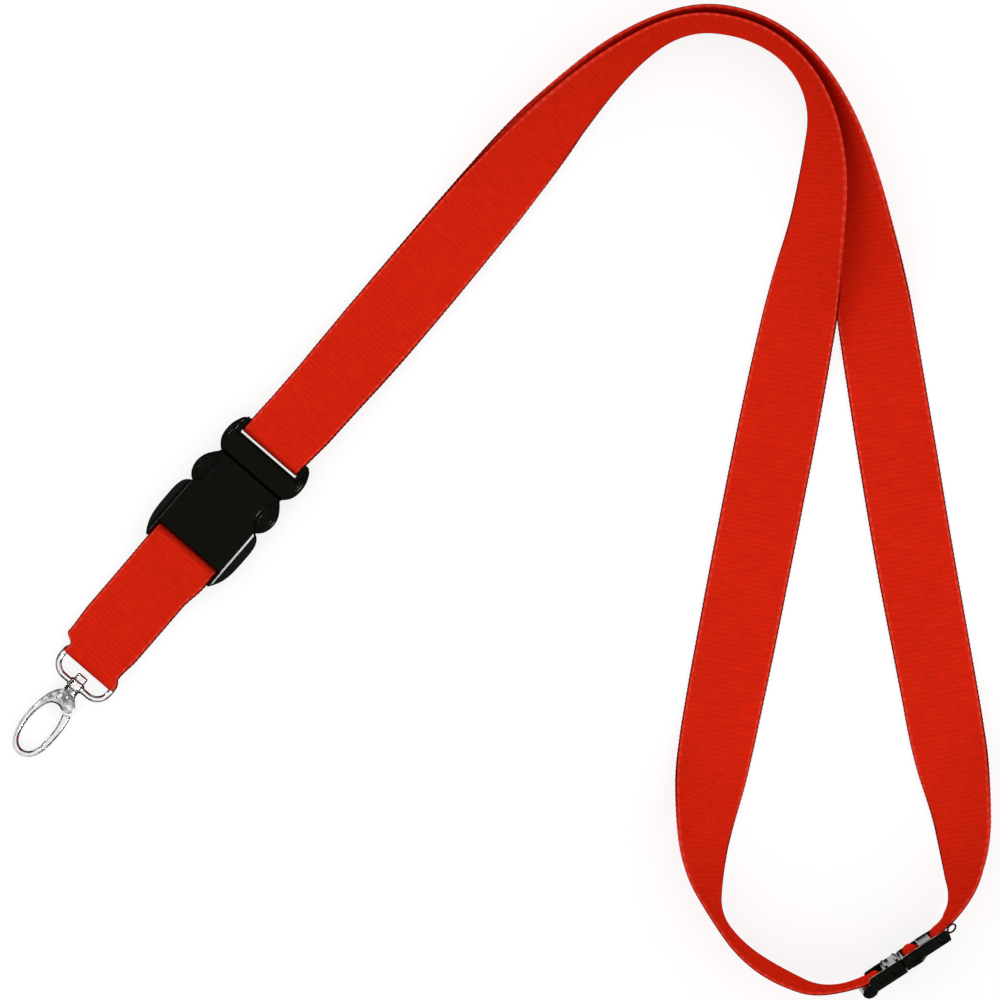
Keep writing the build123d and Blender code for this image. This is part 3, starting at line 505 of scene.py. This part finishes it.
# ------------------------------------------------------------------ short strap
eye = WIRE_R + 0.12 + WEB_T / 2
belt = (
    arc(FEMALE_BAR_S, BAR_Z, wrap, -90, 90, 12)
    + [(-37.5, 5.25), (-41.5, 3.85), (-45.5, 2.65), (-50.0, 2.0), (-55.0, 1.78), (-60.0, 1.78), (-64.0, 2.1), (-67.5, 2.95)]
    + arc(RING_BAR_S, RING_Z, eye, 90, 270, 12)
    + [(-67.5, 0.78), (-62.0, 0.6), (-56.0, 0.6), (-50.0, 0.62), (-45.5, 0.75), (-41.0, 1.15), (-37.5, 1.75)]
)
loop = through([(x, 0.0, z) for x, z in belt], 14, closed=True)
count = int(round(lengths(loop)[-1] / (0.25 * RIB)))
loop2, _ = even(np.vstack([loop, loop[:1]]), np.zeros((len(loop) + 1, 3)), lengths(np.vstack([loop, loop[:1]]))[-1] / count)
loop = loop2[:-1]
sx = loop[:, 0]


def ease(x, a, b):
    t = np.clip((x - a) / (b - a), 0, 1)
    return t * t * (3 - 2 * t)


# the webbing narrows in a step where it turns through the D-ring
left = 10.0 - 0.5 * ease(-sx, 60.0, 68.0) - 2.6 * ease(-sx, 68.7, 70.8) + 0.35 * ease(-sx, 71.2, 72.6)
right = -10.0 + 0.9 * ease(-sx, 37.0, 45.0) + 0.5 * ease(-sx, 63.0, 69.0) - 1.1 * ease(-sx, 69.5, 71.6)
short = strap(
    "short_strap_woven",
    to_world(BUCKLE, loop),
    np.repeat(turned(BUCKLE, [[0, 1, 0]]), len(loop), 0),
    RED,
    closed=True,
    half=(left - right) / 2,
    shift=(left + right) / 2,
    start=3.0,
    # painted shade along the fold where the strap turns through the D-ring
    fold_shade=ease(-sx, 72.6, 72.85),
)
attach(short, "lower_half")
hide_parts("short_strap")


# ------------------------------------------------------------------ moulded and cast parts
def refined(node, name, body, base, voxel, rounds, mat):
    """A copy of a CAD node whose edges are rounded as a mould leaves them."""
    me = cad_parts[node].data.copy()
    bm = bmesh.new()
    bm.from_mesh(me)
    bmesh.ops.remove_doubles(bm, verts=bm.verts, dist=2e-6)
    bm.transform(base.inverted())
    bm.to_mesh(me)
    bm.free()
    me.materials.clear()
    ob = bpy.data.objects.new(name, me)
    bpy.context.scene.collection.objects.link(ob)
    skin = ob.modifiers.new("skin", "REMESH")
    skin.mode = "VOXEL"
    skin.voxel_size = voxel * MM
    soften = ob.modifiers.new("soften", "SMOOTH")
    soften.factor = 0.5
    soften.iterations = rounds
    done = bpy.data.meshes.new_from_object(ob.evaluated_get(bpy.context.evaluated_depsgraph_get()))
    ob.modifiers.clear()
    old = ob.data
    ob.data = done
    bpy.data.meshes.remove(old)
    done.transform(base)
    done.materials.clear()
    done.materials.append(mat)
    done.polygons.foreach_set("use_smooth", np.ones(len(done.polygons), bool))
    done.update()
    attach(ob, body)
    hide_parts(node)
    return ob


def tube(points, radius, sides=8, closed=False):
    """Vertices and faces of a round bead along points (mm, in a part's own frame)."""
    p = np.asarray(points, float)
    n = len(p)
    t = unit(np.roll(p, -1, 0) - np.roll(p, 1, 0)) if closed else unit(np.gradient(p, axis=0))
    side = unit(np.cross(t, np.array([0, 0, 1.0])))
    upv = np.cross(side, t)
    r = np.broadcast_to(np.asarray(radius, float), (n,))
    ang = np.arange(sides) * 2 * math.pi / sides
    v = p[:, None, :] + r[:, None, None] * (np.cos(ang)[None, :, None] * side[:, None, :] + np.sin(ang)[None, :, None] * upv[:, None, :])
    faces = []
    for i in range(n if closed else n - 1):
        i2 = (i + 1) % n
        for j in range(sides):
            j2 = (j + 1) % sides
            faces.append((i * sides + j, i * sides + j2, i2 * sides + j2, i2 * sides + j))
    if not closed:
        faces.append(tuple(range(sides - 1, -1, -1)))
        faces.append(tuple(range((n - 1) * sides, n * sides)))
    return v.reshape(-1, 3), faces


def bead(name, body, base, lines, mat, radius=0.2, closed=False):
    """Raised moulded lines on a part."""
    verts, faces, at = [], [], 0
    for line in lines:
        taper = np.ones(len(line))
        if not closed:
            m = min(6, len(line) // 3)
            taper[:m] = np.linspace(0.35, 1, m)
            taper[-m:] = np.linspace(1, 0.35, m)
        v, f = tube(line, radius * taper, 8, closed)
        verts.append(v)
        faces += [tuple(i + at for i in q) for q in f]
        at += len(v)
    ob = piece(name, to_world(base, np.concatenate(verts)), faces, mat)
    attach(ob, body)
    return ob


refined("buckle_female", "buckle_female_moulded", "lower_half", BUCKLE, 0.17, 9, BLACK)
refined("buckle_male_frame", "buckle_male_moulded", "neck", BUCKLE, 0.17, 6, BLACK)
for side in ("left", "right"):
    refined("buckle_arm_" + side, "buckle_arm_moulded_" + side, "arm_" + side, BUCKLE, 0.15, 6, BLACK)
    refined("buckle_barb_" + side, "buckle_barb_moulded_" + side, "arm_" + side, BUCKLE, 0.15, 4, BLACK_INNER)
refined("clasp_socket", "clasp_socket_moulded", "neck", CLASP, 0.14, 4, BLACK)
refined("clasp_plug", "clasp_plug_moulded", "clasp_end", CLASP, 0.14, 4, BLACK)
refined("d_ring", "d_ring_cast", "ring", RING, 0.085, 6, NICKEL)
refined("swivel_pin", "swivel_pin_cast", "hook", RING, 0.07, 4, NICKEL)
refined("hook_body", "hook_body_cast", "hook", RING, 0.075, 6, NICKEL_CAST)
refined("hook_gate", "hook_gate_cast", "gate", RING, 0.07, 6, NICKEL)

for node, mat in (("gate_pin", NICKEL), ("gate_spring", STEEL), ("short_strap_seam", THREAD)):
    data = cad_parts[node].data
    if not data.materials:
        data.materials.append(mat)
    for k in range(len(data.materials)):
        data.materials[k] = mat

def blocks(name, body, boxes):
    """Plain moulded blocks, each (x0, x1, y0, y1, z0, z1) in the buckle's frame."""
    verts, faces = [], []
    for x0, x1, y0, y1, z0, z1 in boxes:
        at = len(verts)
        verts += [(x, y, z) for x in (x0, x1) for y in (y0, y1) for z in (z0, z1)]
        faces += [tuple(at + i for i in f) for f in ((0, 1, 3, 2), (4, 6, 7, 5), (0, 4, 5, 1), (2, 3, 7, 6), (0, 2, 6, 4), (1, 5, 7, 3))]
    ob = piece(name, to_world(BUCKLE, verts), faces, BLACK)
    ob.data.polygons.foreach_set("use_smooth", np.zeros(len(ob.data.polygons), bool))
    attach(ob, body)
    return ob


# the slot's ends either side of the strap, and the thin web under the female half's bar
blocks("buckle_slot_ends", "neck", [(-0.4, 4.1, 9.42, 10.35, 0.7, 7.2), (-0.4, 4.1, -10.35, -9.2, 0.7, 7.2)])
blocks("buckle_rear_web", "lower_half", [(-36.3, EDGE_S + 0.3, -10.45, 10.45, 0.3, 0.95)])

# raised lines round the ears and finger pads of the buckle
ear = [(-6.0, 11.1), (-4.9, 11.9), (-3.2, 12.45), (-1.2, 12.55), (0.6, 12.3), (2.2, 11.7), (3.3, 10.9)]


def inset(points, d):
    """The line d mm to the right of its direction of travel."""
    q = through([(x, y, 0) for x, y in points], 8)
    t = unit(np.gradient(q, axis=0))
    return q + d * np.stack([t[:, 1], -t[:, 0], np.zeros(len(t))], 1)


ears = []
for sgn in (1, -1):
    line = inset(ear, 1.25)
    line[:, 1] *= sgn
    line[:, 2] = 7.36
    ears.append(line)
bead("buckle_ear_rims", "neck", BUCKLE, ears, BLACK, 0.17)

pad_oval = [(-9.2, 10.2), (-10.9, 11.2), (-12.9, 11.75), (-14.9, 11.5), (-16.3, 10.6), (-16.0, 9.5), (-13.0, 9.1), (-10.0, 9.35)]
for side, sgn in (("left", 1), ("right", -1)):
    ring_line = through([(x, y * sgn, 6.2) for x, y in pad_oval], 8, closed=True)
    bead("buckle_pad_rim_" + side, "arm_" + side, BUCKLE, [ring_line], BLACK, 0.16, closed=True)

# ------------------------------------------------------------------ floor, light and camera
floor_mat, n, b = material("pale_floor")
b.inputs["Base Color"].default_value = (0.24, 0.24, 0.24, 1)
b.inputs["Roughness"].default_value = 0.9
b.inputs["Specular IOR Level"].default_value = 0.0
b.inputs["Emission Color"].default_value = (1, 1, 1, 1)
b.inputs["Emission Strength"].default_value = 0.77
floor = piece("floor", [(-1.6, -1.6, -0.0001), (1.6, -1.6, -0.0001), (1.6, 1.6, -0.0001), (-1.6, 1.6, -0.0001)], [(0, 1, 2, 3)], floor_mat)

# a black card under the buckle, ring and hook, which only polished surfaces see, gives their edges a dark line
card_mat, n, b = material("black_card")
b.inputs["Base Color"].default_value = (0.0, 0.0, 0.0, 1)
b.inputs["Specular IOR Level"].default_value = 0.0
corners = list(to_world(BUCKLE, [(-115, -28, -0.02), (18, -28, -0.02), (18, 28, -0.02), (-115, 28, -0.02)]))
for x0, x1 in ((-7.0, -2.6), (-1.0, 1.0), (6.0, 9.9)):
    corners += list(to_world(CLASP, [(x0, 1.9, -0.02), (x1, 1.9, -0.02), (x1, 3.1, -0.02), (x0, 3.1, -0.02)]))
card = piece("black_card", corners, [tuple(range(i, i + 4)) for i in range(0, len(corners), 4)], card_mat)
for ray in ("camera", "diffuse", "transmission", "volume_scatter", "shadow"):
    setattr(card, "visible_" + ray, False)

# a black wall round the studio, taller on one side, which only polished surfaces see too
turns = np.radians(np.arange(0, 360, 5))
tops = 3.4 + 0.9 * np.cos(turns - math.radians(60)) + 0.35 * np.cos(3 * turns + 0.6)
verts = [(3 * math.cos(t), 3 * math.sin(t), 0.0) for t in turns] + [(3 * math.cos(t), 3 * math.sin(t), h) for t, h in zip(turns, tops)]
count = len(turns)
panel_mat, n, b = material("bright_panel")
b.inputs["Base Color"].default_value = (0.0, 0.0, 0.0, 1)
b.inputs["Specular IOR Level"].default_value = 0.0
b.inputs["Emission Color"].default_value = (1, 1, 1, 1)
b.inputs["Emission Strength"].default_value = 1.0
sheets, quads = [], []
for a0, a1, low, high in ((-112, -68, 0.35, 1.5), (-8, 34, 0.5, 1.9), (62, 98, 0.3, 1.3), (172, 216, 0.5, 1.7)):
    for a2 in range(a0, a1, 4):
        at = len(sheets)
        sheets += [(2.95 * math.cos(math.radians(t)), 2.95 * math.sin(math.radians(t)), h) for t, h in ((a2, low), (a2 + 4, low), (a2 + 4, high), (a2, high))]
        quads.append(tuple(range(at, at + 4)))
panels = piece("bright_panels", sheets, quads, panel_mat)
wall = piece("black_wall", verts, [(i, (i + 1) % count, count + (i + 1) % count, count + i) for i in range(count)], card_mat)
for screen in (wall, panels):
    for ray in ("camera", "diffuse", "transmission", "volume_scatter", "shadow"):
        setattr(screen, "visible_" + ray, False)

world = bpy.data.worlds.new("studio")
bpy.context.scene.world = world
world.use_nodes = True
world.node_tree.nodes.clear()
n = Nodes(world.node_tree)
out = n.new("ShaderNodeOutputWorld")
back = n.new("ShaderNodeBackground")
world.node_tree.links.new(back.outputs[0], out.inputs[0])
direction = n.new("ShaderNodeTexCoord").outputs["Generated"]
parts = n.new("ShaderNodeSeparateXYZ")
n.put(parts.inputs[0], direction)
ramp = n.new("ShaderNodeValToRGB")
n.put(ramp.inputs[0], parts.outputs[2])
stops = [(0.0, 0.01), (0.22, 0.02), (0.40, 1.0), (0.60, 1.35), (0.92, 1.2), (1.0, 1.0)]
ramp.color_ramp.elements[0].position, ramp.color_ramp.elements[1].position = stops[0][0], stops[-1][0]
for pos, v in stops[1:-1]:
    ramp.color_ramp.elements.new(pos)
for e, (pos, v) in zip(ramp.color_ramp.elements, stops):
    e.position = pos
    e.color = (v, v, v, 1)
n.put(back.inputs["Color"], ramp.outputs[0])
back.inputs["Strength"].default_value = 1.0


def softbox(name, at, size_x, size_y, power, diffuse=True):
    data = bpy.data.lights.new(name, "AREA")
    data.shape = "RECTANGLE"
    data.size, data.size_y = size_x, size_y
    data.energy = power
    ob = bpy.data.objects.new(name, data)
    ob.location = at
    ob.rotation_mode = "QUATERNION"
    ob.rotation_quaternion = (-Vector(at)).to_track_quat("-Z", "Y")
    bpy.context.scene.collection.objects.link(ob)
    ob.visible_diffuse = diffuse
    return ob


def around(azimuth, elevation, distance):
    a, e = math.radians(azimuth), math.radians(elevation)
    return (distance * math.cos(e) * math.cos(a), distance * math.cos(e) * math.sin(a), distance * math.sin(e))


# azimuth -40.8 is square to the buckle's lower right flank, 139.2 to its upper left one
softbox("key_lower_right", around(-40.8, 33, 1.4), 0.26, 0.20, 40.0, diffuse=False)
softbox("fill_upper_left", around(139.2, 36, 1.6), 0.30, 0.16, 4.0, diffuse=False)

camera = bpy.data.cameras.new("camera")
camera.sensor_width = 36.0
camera.lens = 36.0 * 1600.0 / 260.0
camera.clip_start, camera.clip_end = 0.05, 20.0
eye_at = bpy.data.objects.new("camera", camera)
eye_at.location = (0.00015, 0.0004, 1.6)
bpy.context.scene.collection.objects.link(eye_at)
bpy.context.scene.camera = eye_at
bpy.context.scene.view_settings.view_transform = "Standard"
